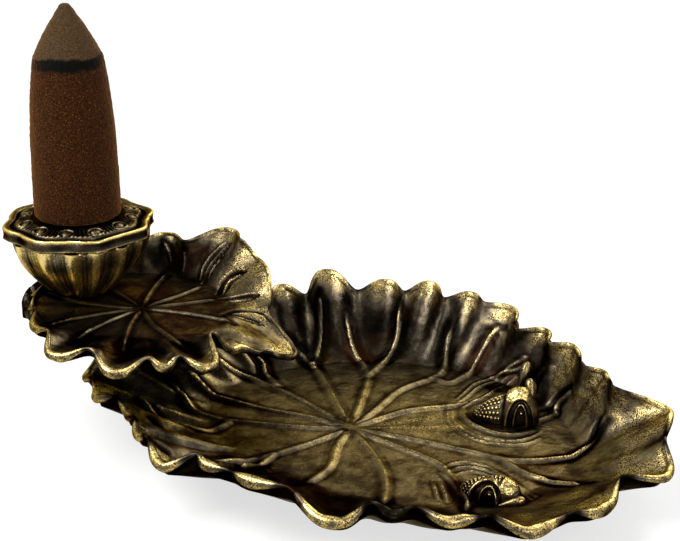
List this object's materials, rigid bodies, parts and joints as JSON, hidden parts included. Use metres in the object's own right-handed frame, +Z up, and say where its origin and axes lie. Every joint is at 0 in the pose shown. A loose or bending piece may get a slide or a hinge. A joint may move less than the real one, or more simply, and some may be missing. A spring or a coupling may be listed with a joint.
{
  "type": "backflow incense burner",
  "caption": "Backflow incense burner: a small leaf dish with a seed-pod cup and a cone of incense stands on a stem over one end of a large leaf dish with fish.",
  "frame": {"origin": "on the ground under the middle of the large leaf's veins, the centre of the pad under the large leaf", "axes": "+X runs along the large leaf from the pod's end to the tip, +Y to the side away from the small leaf's front, +Z up"},
  "size_m": [0.1089, 0.076, 0.0642],
  "materials": {
    "cast_leaf": "cast, blackened and rubbed back to yellow along its edges",
    "cast_pod": "cast, blackened and rubbed back to yellow along its edges",
    "cast_fish": "cast, blackened and rubbed back to yellow along its edges",
    "incense": "pressed wood powder, matt and grainy",
    "screw_steel": "zinc plated, satin"
  },
  "bodies": {
    "burner": {"large_leaf_dish": "cast_leaf", "small_leaf_dish": "cast_leaf", "lotus_pod_cup": "cast_pod", "fish_rear": "cast_fish", "fish_front": "cast_fish", "stem_screw": "screw_steel", "pod_screw": "screw_steel"},
    "seed_plate": {"pod_seed_plate": "cast_pod"},
    "cone": {"incense_cone": "incense"}
  },
  "joints": [
    {"name": "seed_plate_lift", "type": "slide", "parent": "burner", "child": "seed_plate", "axis": [0, 0, 1], "range_m": [0, 0.015]},
    {"name": "cone_lift", "type": "slide", "parent": "seed_plate", "child": "cone", "axis": [0, 0, 1], "range_m": [0, 0.04]}
  ]
}
